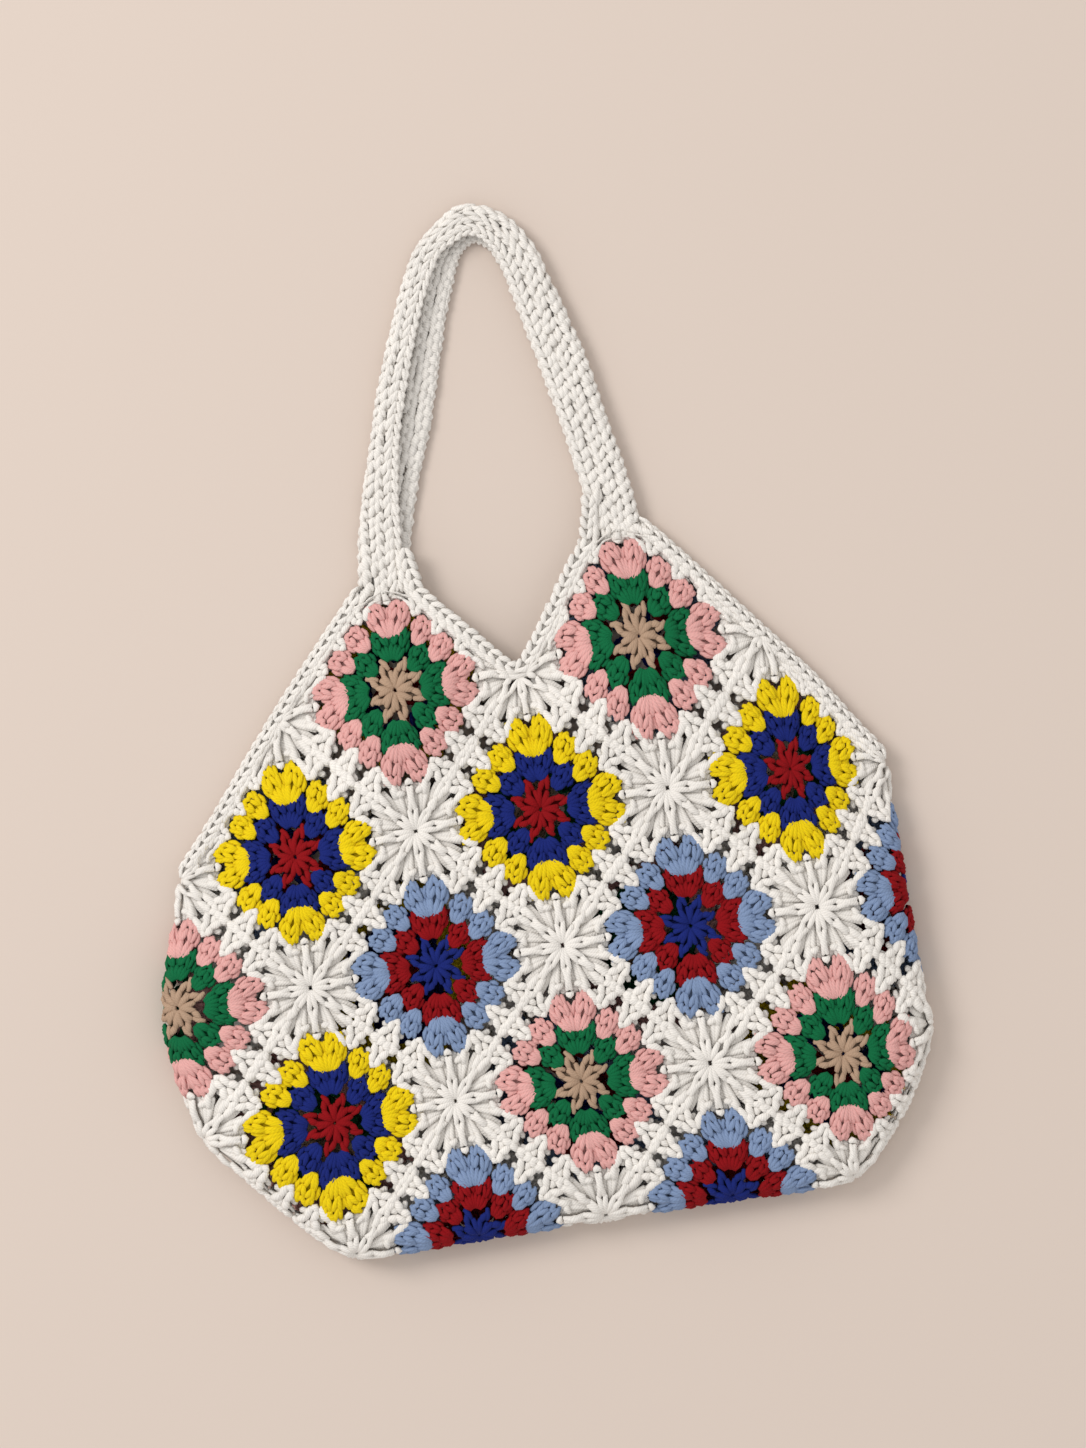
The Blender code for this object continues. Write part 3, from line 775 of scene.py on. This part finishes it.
def yarn_material(name, colour, deep):
    """Matte cotton: plies wound round each strand, with painted shade where it goes down between
    others.
    """
    mat = bpy.data.materials.new(name)
    mat.use_nodes = True
    shader = mat.node_tree.nodes["Principled BSDF"]
    start = Socket(mat.node_tree)
    uv = start.node("ShaderNodeUVMap", "UV", {"uv_map": "strand"}, {})
    around = start.node("ShaderNodeSeparateXYZ", "X", {}, {"Vector": uv})
    along = start.node("ShaderNodeSeparateXYZ", "Y", {}, {"Vector": uv})
    spot = start.node("ShaderNodeTexCoord", "Object", {}, {})
    fine = {"Vector": spot, "Scale": FIBRE_SCALE, "Detail": 3.0}
    fibre = start.node("ShaderNodeTexNoise", "Fac", {}, fine)
    coarse = {"Vector": spot, "Scale": PATCH_SCALE, "Detail": 2.0}
    patch = start.node("ShaderNodeTexNoise", "Fac", {}, coarse)
    phase = around * PLIES + along * PLY_PITCH + fibre * 0.3
    ply = start.math("SINE", phase * (2 * math.pi)) * 0.5 + 0.5
    shade = start.node("ShaderNodeAttribute", "Fac", {"attribute_name": "shade"}, {})
    painted_light = start.node("ShaderNodeAttribute", "Fac", {"attribute_name": "painted_light"}, {})
    light = 0.84 + ply * 0.12 + fibre * 0.08 + (patch - 0.5) * 0.08 + (shade - 0.5) * 0.06
    # Painted shade: the colour is darkened where the strand lies deep, down to the share given by
    # deep
    light = light * (painted_light * (1.0 - deep) + deep)
    dye_and_shade = {"Vector": colour, "Scale": light}
    tone = start.node("ShaderNodeVectorMath", "Vector", {"operation": "SCALE"}, dye_and_shade)
    tone.feed(shader.inputs["Base Color"])
    relief = {"Height": ply * 0.7 + fibre * 0.4, "Strength": 0.38, "Distance": 0.0005}
    bump = start.node("ShaderNodeBump", "Normal", {}, relief)
    bump.feed(shader.inputs["Normal"])
    shader.inputs["Roughness"].default_value = 0.9
    shader.inputs["Specular IOR Level"].default_value = 0.22
    return mat


yarns = {name: yarn_material(name + "_cotton", *dye_and_shade) for name, dye_and_shade in YARNS.items()}
white = yarns["white"]

# Flat granny squares

placer = placing_tree()
clusters = stitch_set("cluster", cluster, 4, 10)
lattices = stitch_set("lattice", lattice, 4, 30)
corners = stitch_set("corner", corner, 4, 40)
petals = stitch_set("petal", petal, 4, 50)
webs = stitch_set("web", web, 3, 60)
cords = stitch_set("cord", cord, 3, 70)
chains = stitch_set("chain", chain, 4, 75)
ribs = stitch_set("rib", rib, 4, 80)
lips = stitch_set("lip", lip, 3, 90)

# Clusters of one corner: round, then the angle from the corner and the share of the side's
# distance, at the base and at the top, and the width
CORNER = (
    (1, -5.0, 0.30, -14.5, 0.645, 0.88),
    (1, 5.0, 0.30, 14.5, 0.645, 0.88),
    (1, 45.0, 0.265, 45.0, 0.585, 0.98),
    (2, -4.0, 0.525, -12.2, 0.95, 1.02),
    (2, 4.0, 0.525, 12.2, 0.95, 1.02),
    (2, 31.5, 0.50, 34.2, 0.825, 1.0),
    (2, 58.5, 0.50, 55.8, 0.825, 1.0),
)

# Feet of the last round along one side: place along and out, lean
FEET = (
    (-0.31, 0.75, 9.0),
    (0.0, 0.735, 0.0),
    (0.31, 0.75, -9.0),
)


def polar(degrees, share):
    """A place from its angle off the corner and its share of the side's distance."""
    angle = math.radians(45.0 + degrees)
    return np.array([math.cos(angle), math.sin(angle)]) * share * SIDE_REACH / MM


def granny_square(seed):
    """One flat square of four rounds, as arrays."""
    rng = np.random.default_rng(seed)
    unit = SIDE_REACH / MM
    star, second, third, side_feet, star_loops, ties = ([] for _ in range(6))
    for quarter in range(4):
        spin = quarter * math.pi / 2
        cos, sin = math.cos(spin), math.sin(spin)

        def put(group, place, turn, wide=1.0, high=1.0):
            """Adds a stitch of this quarter, a little off its place."""
            x, y = place + rng.normal(0, 0.22, 2)
            turn = turn + spin + rng.normal(0, 0.02)
            x, y = cos * x - sin * y, sin * x + cos * y
            group.append((x, y, turn, wide, high, rng.integers(PICKS)))

        for degrees in (22.5, 67.5):
            turn = math.radians(degrees - 45.0) + rng.normal(0, 0.06)
            put(star, np.zeros(2), turn, 1.0, rng.normal(0.98, 0.05))
        for number, base_angle, base_share, top_angle, top_share, wide in CORNER:
            base, top = polar(base_angle, base_share), polar(top_angle, top_share)
            run = top - base
            turn = math.atan2(run[1], run[0]) - math.pi / 2
            group = second if number == 1 else third
            wide = wide * rng.normal(1.0, 0.03)
            put(group, base, turn, wide, math.hypot(*run) / CLUSTER_TALL)
        for degrees in (0.0, 24.0, 66.0):
            put(ties, polar(degrees, TIE_SHARE), math.radians(degrees - 45.0))
        for along, out, lean in FEET:
            high = (1.0 - out) * unit / FOOT_TALL
            put(side_feet, np.array([along, out]) * unit, math.radians(lean), 1.0, high)
        put(star_loops, np.array([unit, unit]), math.radians(135.0))
    makings = (
        (star, petals, 0), (second, clusters, 1), (ties, webs, 1),
        (third, clusters, 2), (side_feet, lattices, 3), (star_loops, corners, 3),
    )
    meshes = []
    for k, (points, stitches, _) in enumerate(makings):
        meshes.append(placed(placer, points, stitches, white, 0.03, seed + k))
    cloth = Cloth(meshes)
    cloth.rounds = np.array([number for *_, number in makings], np.int32)[cloth.rounds]
    return cloth


squares = [granny_square(seed) for seed in (100, 200, 300)]


def squeeze(v, start, old_end, new_end):
    """Keeps values above start; those from start down to old_end now end at new_end."""
    past = start - v
    return np.where(past > 0, start - past * (start - new_end) / (start - old_end), v)


def square_places(cloth, ic, jc, back, quarter):
    """Carries a flat square on to the bag: free sides and cut corners are pressed in."""
    x, y, z = cloth.verts.T
    for _ in range(quarter):
        x, y = -y, x
    unit = SIDE_REACH / MM
    # The middle is turned, and less of the turn is left towards the sides
    twist = BACK_TWIST if back else FRONT_TWIST
    twist = twist * smooth((1.0 - np.hypot(x, y) / unit) / 0.6)
    x, y = x * np.cos(twist) - y * np.sin(twist), x * np.sin(twist) + y * np.cos(twist)
    # Places along both pairs of sides, from -1 at the upper ones to 1 at the lower ones
    s, t = (x / unit, y / unit) if back else (y / unit, x / unit)
    free = -1.0 + FREE_INSET / SIDE_REACH
    if jc == -1 or (ic, jc) == (-2, 0):
        s = squeeze(s, FREE_FROM, -1.0, free)
    if jc == -1 or (ic, jc) == (2, 0):
        t = squeeze(t, FREE_FROM, -1.0, free)
    if jc == -1:
        both = squeeze(s + t, PEAK_FROM, PEAK_END, -2.0 + PEAK_CUT)
        s, t = (both + s - t) / 2, (both - s + t) / 2
    elif (ic, jc) == (0, 0) or abs(ic) == 3:
        both = squeeze(s + t, CORNER_FROM, CORNER_END, -2.0 + CORNER_CUT)
        s, t = (both + s - t) / 2, (both - s + t) / 2
    place, out = bag_frame(ic + (s - t) / 2, jc + (s + t) / 2, back)
    return place + out * (z * MM * SQUARE_HEIGHT)[:, None]


def dress(cloth, verts, name, yarns):
    """Makes the piece that stands for the CAD node of this name."""
    piece = cloth.piece("crochet_" + name, verts, yarns)
    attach(piece, "root")
    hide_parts(name)
    name + "_yarn"


for number, (name, ic, jc, back, pattern) in enumerate(SQUARES):
    cloth = squares[number % len(squares)]
    verts = square_places(cloth, ic, jc, back, (number * 3) % 4)
    dress(cloth, verts, name, [yarns[yarn] for yarn in PATTERNS[pattern]])

# Edgings

# Middle of an edging, and the line across a peak where the edgings end, in half sides
centre_inset = (FREE_INSET - EDGE_GAP - EDGING_W / 2) / SIDE_REACH
end_line = -2.0 + PEAK_CUT + 0.02


def arc_length(line):
    """Length along a line up to each of its points."""
    steps = np.linalg.norm(np.diff(line, axis=0), axis=1)
    return np.concatenate([[0.0], np.cumsum(steps)])


def follow(line, marks, at):
    """Points of a line at given lengths along it; it runs on straight past both ends."""
    spots = np.stack([np.interp(at, marks, line[:, k]) for k in range(line.shape[1])], axis=1)
    first = (line[1] - line[0]) / (marks[1] - marks[0])
    last = (line[-1] - line[-2]) / (marks[-1] - marks[-2])
    before = np.minimum(at, 0.0)[:, None] * first
    after = np.maximum(at - marks[-1], 0.0)[:, None] * last
    return spots + before + after


def unit_rows(v):
    """Each row made one long."""
    return v / np.linalg.norm(v, axis=1)[:, None]


def cord_cloth(length, columns, seed):
    """Flat rows of stitches along y, one column for each x: a chain, or else a plain cord."""
    rng = np.random.default_rng(seed)
    rows = ([], [])
    for column, (x, is_chain) in enumerate(columns):
        natural = CHAIN_PITCH if is_chain else CORD_PITCH
        count = int(round(length / MM / natural))
        pitch = length / MM / count
        for k in range(count):
            y = (k + (0.37 * column) % 1.0) * pitch
            spot = x + rng.normal(0, 0.25)
            turn = rng.normal(0, 0.08)
            rows[is_chain].append((spot, y, turn, 1.0, pitch / natural, rng.integers(PICKS)))
    cloth = Cloth([
        placed(placer, rows[True], chains, white, 0.03, seed),
        placed(placer, rows[False], cords, white, 0.03, seed + 1),
    ])
    cloth.rounds[:] = 0
    return cloth


def mouth_edging(name, back, seed):
    """The cord along one side of the mouth, and a row of stitches inside it."""
    reach = 1.0 - (end_line + 1.0 - centre_inset + 1.0) / 2 - centre_inset / 2
    i = np.linspace(-reach, reach, 241)
    j = -1.0 + centre_inset - np.hypot(i, 0.045)
    place, out = bag_frame(i, j, back)
    # Both ends lead up along the inner edge of the strap, to its first and last station
    for end, row, lean in ((0, STRAP[0], -0.02), (-1, STRAP[-1], 0.02)):
        spot = np.array([(row[2] + lean) * HALF_W, row[3] * HALF_H, place[end, 2]])
        extra = place[end] + (spot - place[end]) * np.linspace(0.0, 1.0, 13)[1:, None]
        normal = np.repeat(out[end][None], len(extra), axis=0)
        place = np.vstack([extra[::-1], place] if end == 0 else [place, extra])
        out = np.vstack([normal, out] if end == 0 else [out, normal])
    run = np.gradient(place, axis=0)
    for _ in range(6):
        run[1:-1] = (run[:-2] + run[1:-1] * 2 + run[2:]) / 4
    run = unit_rows(run)
    inward = np.cross(run, out) * (-1.0 if back else 1.0)
    marks = arc_length(place)
    cloth = cord_cloth(marks[-1], ((0.2, True), (4.6, False)), seed)
    x, y, z = cloth.verts.T * MM
    held = np.clip(y, 0, marks[-1])
    verts = follow(place, marks, y) + follow(inward, marks, held) * x[:, None]
    verts = verts + follow(out, marks, held) * (z + 0.0003)[:, None]
    dress(cloth, verts, name, [white])


def seam_edging(name, mirror, seed):
    """The cords that close front and back along an upper slope; mirror is -1 on the right."""
    steps = np.linspace(0.0, 1.0, 200)
    edge = -1.0 + centre_inset
    low_t, top_t = 0.985, end_line - edge
    i = -2 + (edge - low_t) / 2 + steps * (1 + (low_t - top_t) / 2)
    j = (edge + low_t) / 2 + steps * (-1 + (top_t - low_t) / 2)
    front = bag_point(i * mirror, j, False)
    back = bag_point(i * mirror, j, True)
    middle = (front + back) / 2
    tall = np.abs(front[:, 2] - back[:, 2]) / 2 + 0.0004
    run = np.gradient(middle, axis=0)
    run[:, 2] = 0.0
    run = unit_rows(run)
    # The cords stand out level, away from the bag
    outward = np.cross(run, (0.0, 0.0, 1.0)) * -mirror
    marks = arc_length(middle)
    columns = ((-10.6, False), (-6.4, True), (-0.2, True), (6.2, True), (10.6, False))
    cloth = cord_cloth(marks[-1], columns, seed)
    x, y, z = cloth.verts.T
    y = y * MM
    # Round the edge, then flat inwards on both panels
    turned = np.clip(x / SEAM_TURN, -1.0, 1.0) * math.pi / 2
    flat = np.maximum(np.abs(x) - SEAM_TURN, 0.0) * MM
    high = np.interp(y, marks, tall)
    across = np.cos(turned) * (0.0008 + z * MM) - flat + 0.0002
    up = np.sin(turned) * (high + z * MM)
    side = follow(outward, marks, np.clip(y, 0, marks[-1]))
    verts = follow(middle, marks, y) + side * across[:, None]
    verts[:, 2] += up
    dress(cloth, verts, name, [white])


mouth_edging("mouth_edging_front", False, 400)
mouth_edging("mouth_edging_back", True, 410)
seam_edging("seam_edging_left", 1, 420)
seam_edging("seam_edging_right", -1, 430)

# Strap


def peak_end(side):
    """Both ends of the cut corner of a peak, over the outside edges of its edgings."""
    line = -2.0 + PEAK_CUT - 0.012
    s = np.array([-1.0 + centre_inset, line + 1.0 - centre_inset])
    t = line - s
    ends = bag_point(side + (s - t) / 2, -1 + (s + t) / 2, False)
    return ends[0, :2], ends[1, :2]


def strap_surface():
    """Middle surface of the folded band: rows along it, columns from lower to upper edge."""
    end_share = 0.97
    left_out, left_in = peak_end(-1)
    right_in, right_out = peak_end(1)
    lift = np.array([0.0, LAYER_GAP + 0.0003])
    table = [(*(left_out + lift), *(left_in + lift), end_share)]
    for ox, oy, nx, ny, share in STRAP:
        table.append((ox * HALF_W, oy * HALF_H, nx * HALF_W, ny * HALF_H, share))
    table.append((*(right_out + lift), *(right_in + lift), end_share))
    table = np.array(table)
    # Three rounds of smooth halving between the stations
    for _ in range(3):
        before = np.vstack([table[:1], table[:-1]])
        after = np.vstack([table[2:], table[-1:], table[-1:]])
        between = (9 * (table[:-1] + table[1:]) - before[:-1] - after[:-1]) / 16
        merged = np.empty((len(table) * 2 - 1, 5))
        merged[::2], merged[1::2] = table, between
        table = merged
    rows = []
    bend = (STRAP_TALL - LAYER) / 2
    start = LAYER / 2 + bend
    angles = np.radians(np.linspace(15, 165, 9))
    for ox, oy, nx, ny, share in table:
        outer, inner = np.array([ox, oy]), np.array([nx, ny])
        width = np.linalg.norm(inner - outer)
        way = (inner - outer) / width
        upper = max(width * share, start + 0.004)
        path = [(width, LAYER / 2), (start, LAYER / 2)]
        path += [(start - bend * math.sin(a), STRAP_TALL / 2 - bend * math.cos(a)) for a in angles]
        path += [(start, STRAP_TALL - LAYER / 2), (upper, STRAP_TALL - LAYER / 2)]
        path = np.array(path)
        marks = arc_length(path)
        even = follow(path, marks, np.linspace(0.0, marks[-1], 61))
        spot = outer + way * even[:, :1]
        rows.append(np.column_stack([spot, even[:, 1]]))
    return np.array(rows)


def on_grid(grid, u, v):
    """Values of a grid at fractional rows u and columns v, both from 0 to 1."""
    u = np.clip(u, 0, 1) * (grid.shape[0] - 1.001)
    v = np.clip(v, 0, 1) * (grid.shape[1] - 1.001)
    a, b = u.astype(int), v.astype(int)
    fu, fv = (u - a)[:, None], (v - b)[:, None]
    low = grid[a, b] * (1 - fv) + grid[a, b + 1] * fv
    high = grid[a + 1, b] * (1 - fv) + grid[a + 1, b + 1] * fv
    return low * (1 - fu) + high * fu


def strap_cloth(length):
    """The flat strap: ribs, tongues over the peaks, lips on both edges and a border of chains."""
    rng = np.random.default_rng(600)
    points, edges, border = [], [], []
    rows = int(round(length / MM / RIB_PITCH))
    pitch = length / MM / rows
    for column in range(STRAP_COLUMNS):
        x = 2.6 + column / (STRAP_COLUMNS - 1) * (STRAP_FLAT - 9.2)
        odd = column % 2
        for k in range(-1, rows + 1):
            y = (k + 0.5 * odd + rng.normal(0, 0.08)) * pitch
            lean = (0.22 if odd else -0.10) + rng.normal(0, 0.12)
            spot = x + rng.normal(0, 0.3)
            wide, high = rng.normal(1.0, 0.05), rng.normal(1.0, 0.05)
            points.append((spot, y, lean, wide, high, rng.integers(PICKS)))
    for end in (-1, 1):
        for x in (13.0, 40.0):
            for side in (-1, 0, 1):
                y = -7.6 if end < 0 else length / MM + 7.6
                turn = 0.42 * side + (0.0 if end < 0 else math.pi)
                points.append((x + side * 0.9, y, turn, 1.1, 1.35, rng.integers(PICKS)))
    count = int(round(length / MM / LIP_PITCH))
    for k in range(count + 1):
        y = k * length / MM / count
        edges.append((0.9, y, 0.0, 1.0, 0.95, rng.integers(PICKS)))
        edges.append((STRAP_FLAT - 0.9, y + 3.8, math.pi, 1.0, 0.95, rng.integers(PICKS)))
    for k in range(rows + 1):
        x = STRAP_FLAT - 3.4
        border.append((x, k * pitch, math.pi, 1.0, pitch / CHAIN_PITCH, rng.integers(PICKS)))
    cloth = Cloth([
        placed(placer, points, ribs, white, 0.05, 600),
        placed(placer, edges, lips, white, 0.08, 610),
        placed(placer, border, chains, white, 0.04, 620),
    ])
    cloth.rounds[:] = 0
    return cloth


def strap_places(cloth, surface, centre, marks):
    """Carries the flat strap on to the folded band."""
    x, y, z = cloth.verts.T
    along = np.gradient(surface, axis=0)
    across = np.gradient(surface, axis=1)
    normal = np.cross(across, along)
    normal = normal / np.linalg.norm(normal, axis=2)[:, :, None]
    # Outwards is down on the lower layer, which holds the first columns
    if normal[10, 5, 2] > 0:
        normal = -normal
    v = x / STRAP_FLAT
    u = np.interp(y * MM, marks, np.linspace(0, 1, len(marks)))
    # Both ends run on straight over the peaks
    past_end = np.maximum(-y, y - marks[-1] / MM).clip(0.0, None)
    run = unit_rows(np.where((y < 0)[:, None], centre[0] - centre[2], centre[-1] - centre[-3]))
    place = on_grid(surface, u, v) + run * (past_end * MM)[:, None]
    # What lies past either edge of the flat runs on sideways
    past_edge = np.where(v < 0, v, np.where(v > 1, v - 1, 0.0)) * STRAP_FLAT * MM
    sideways = unit_rows(on_grid(across, u, np.clip(v, 0.02, 0.98)))
    out = unit_rows(on_grid(normal, u, v))
    return place + out * (z * MM * STRAP_HEIGHT)[:, None] + sideways * past_edge[:, None]


surface = strap_surface()
centre = surface.mean(axis=1)
marks = arc_length(centre)
cloth = strap_cloth(marks[-1])
dress(cloth, strap_places(cloth, surface, centre, marks), "strap", [white])

# Floor, light and camera


def plain_material(name, colour):
    """One matte colour."""
    mat = bpy.data.materials.new(name)
    mat.use_nodes = True
    shader = mat.node_tree.nodes["Principled BSDF"]
    shader.inputs["Base Color"].default_value = (*colour, 1.0)
    shader.inputs["Roughness"].default_value = 0.95
    shader.inputs["Specular IOR Level"].default_value = 0.1
    return mat


FLOOR_Z = -0.0004
bpy.ops.mesh.primitive_plane_add(size=6.0, location=(0.0, 0.0, FLOOR_Z))
floor = bpy.context.object
floor.name = "floor"
floor.data.materials.append(plain_material("floor_paint", (0.645, 0.555, 0.495)))


def area_light(name, place, size, power, colour):
    """A round soft light at a place, aimed at the bag's middle."""
    lamp = bpy.data.lights.new(name, "AREA")
    lamp.shape = "DISK"
    lamp.size = size
    lamp.energy = power
    lamp.color = colour
    obj = bpy.data.objects.new(name, lamp)
    obj.location = place
    aim = -np.array(place) / np.linalg.norm(place)
    obj.rotation_euler = (math.acos(-aim[2]), 0.0, math.atan2(aim[1], aim[0]) - math.pi / 2)
    bpy.context.scene.collection.objects.link(obj)


DAYLIGHT = (1.0, 0.975, 0.95)
area_light("window", (-2.0, 1.6, 2.3), 1.5, 58.0, DAYLIGHT)
world = bpy.data.worlds.new("room")
world.use_nodes = True
sky = world.node_tree.nodes["Background"]
sky.inputs["Color"].default_value = (*DAYLIGHT, 1.0)
sky.inputs["Strength"].default_value = 0.82
bpy.context.scene.world = world

camera_data = bpy.data.cameras.new("camera")
camera_data.lens = 80.0
camera_data.sensor_width = 36.0
camera = bpy.data.objects.new("camera", camera_data)
camera.location = (0.0078, 0.0423, 1.622)
camera.rotation_euler = (0.0, 0.0, -0.1587)
bpy.context.scene.collection.objects.link(camera)
bpy.context.scene.camera = camera
bpy.context.scene.view_settings.view_transform = "Standard"
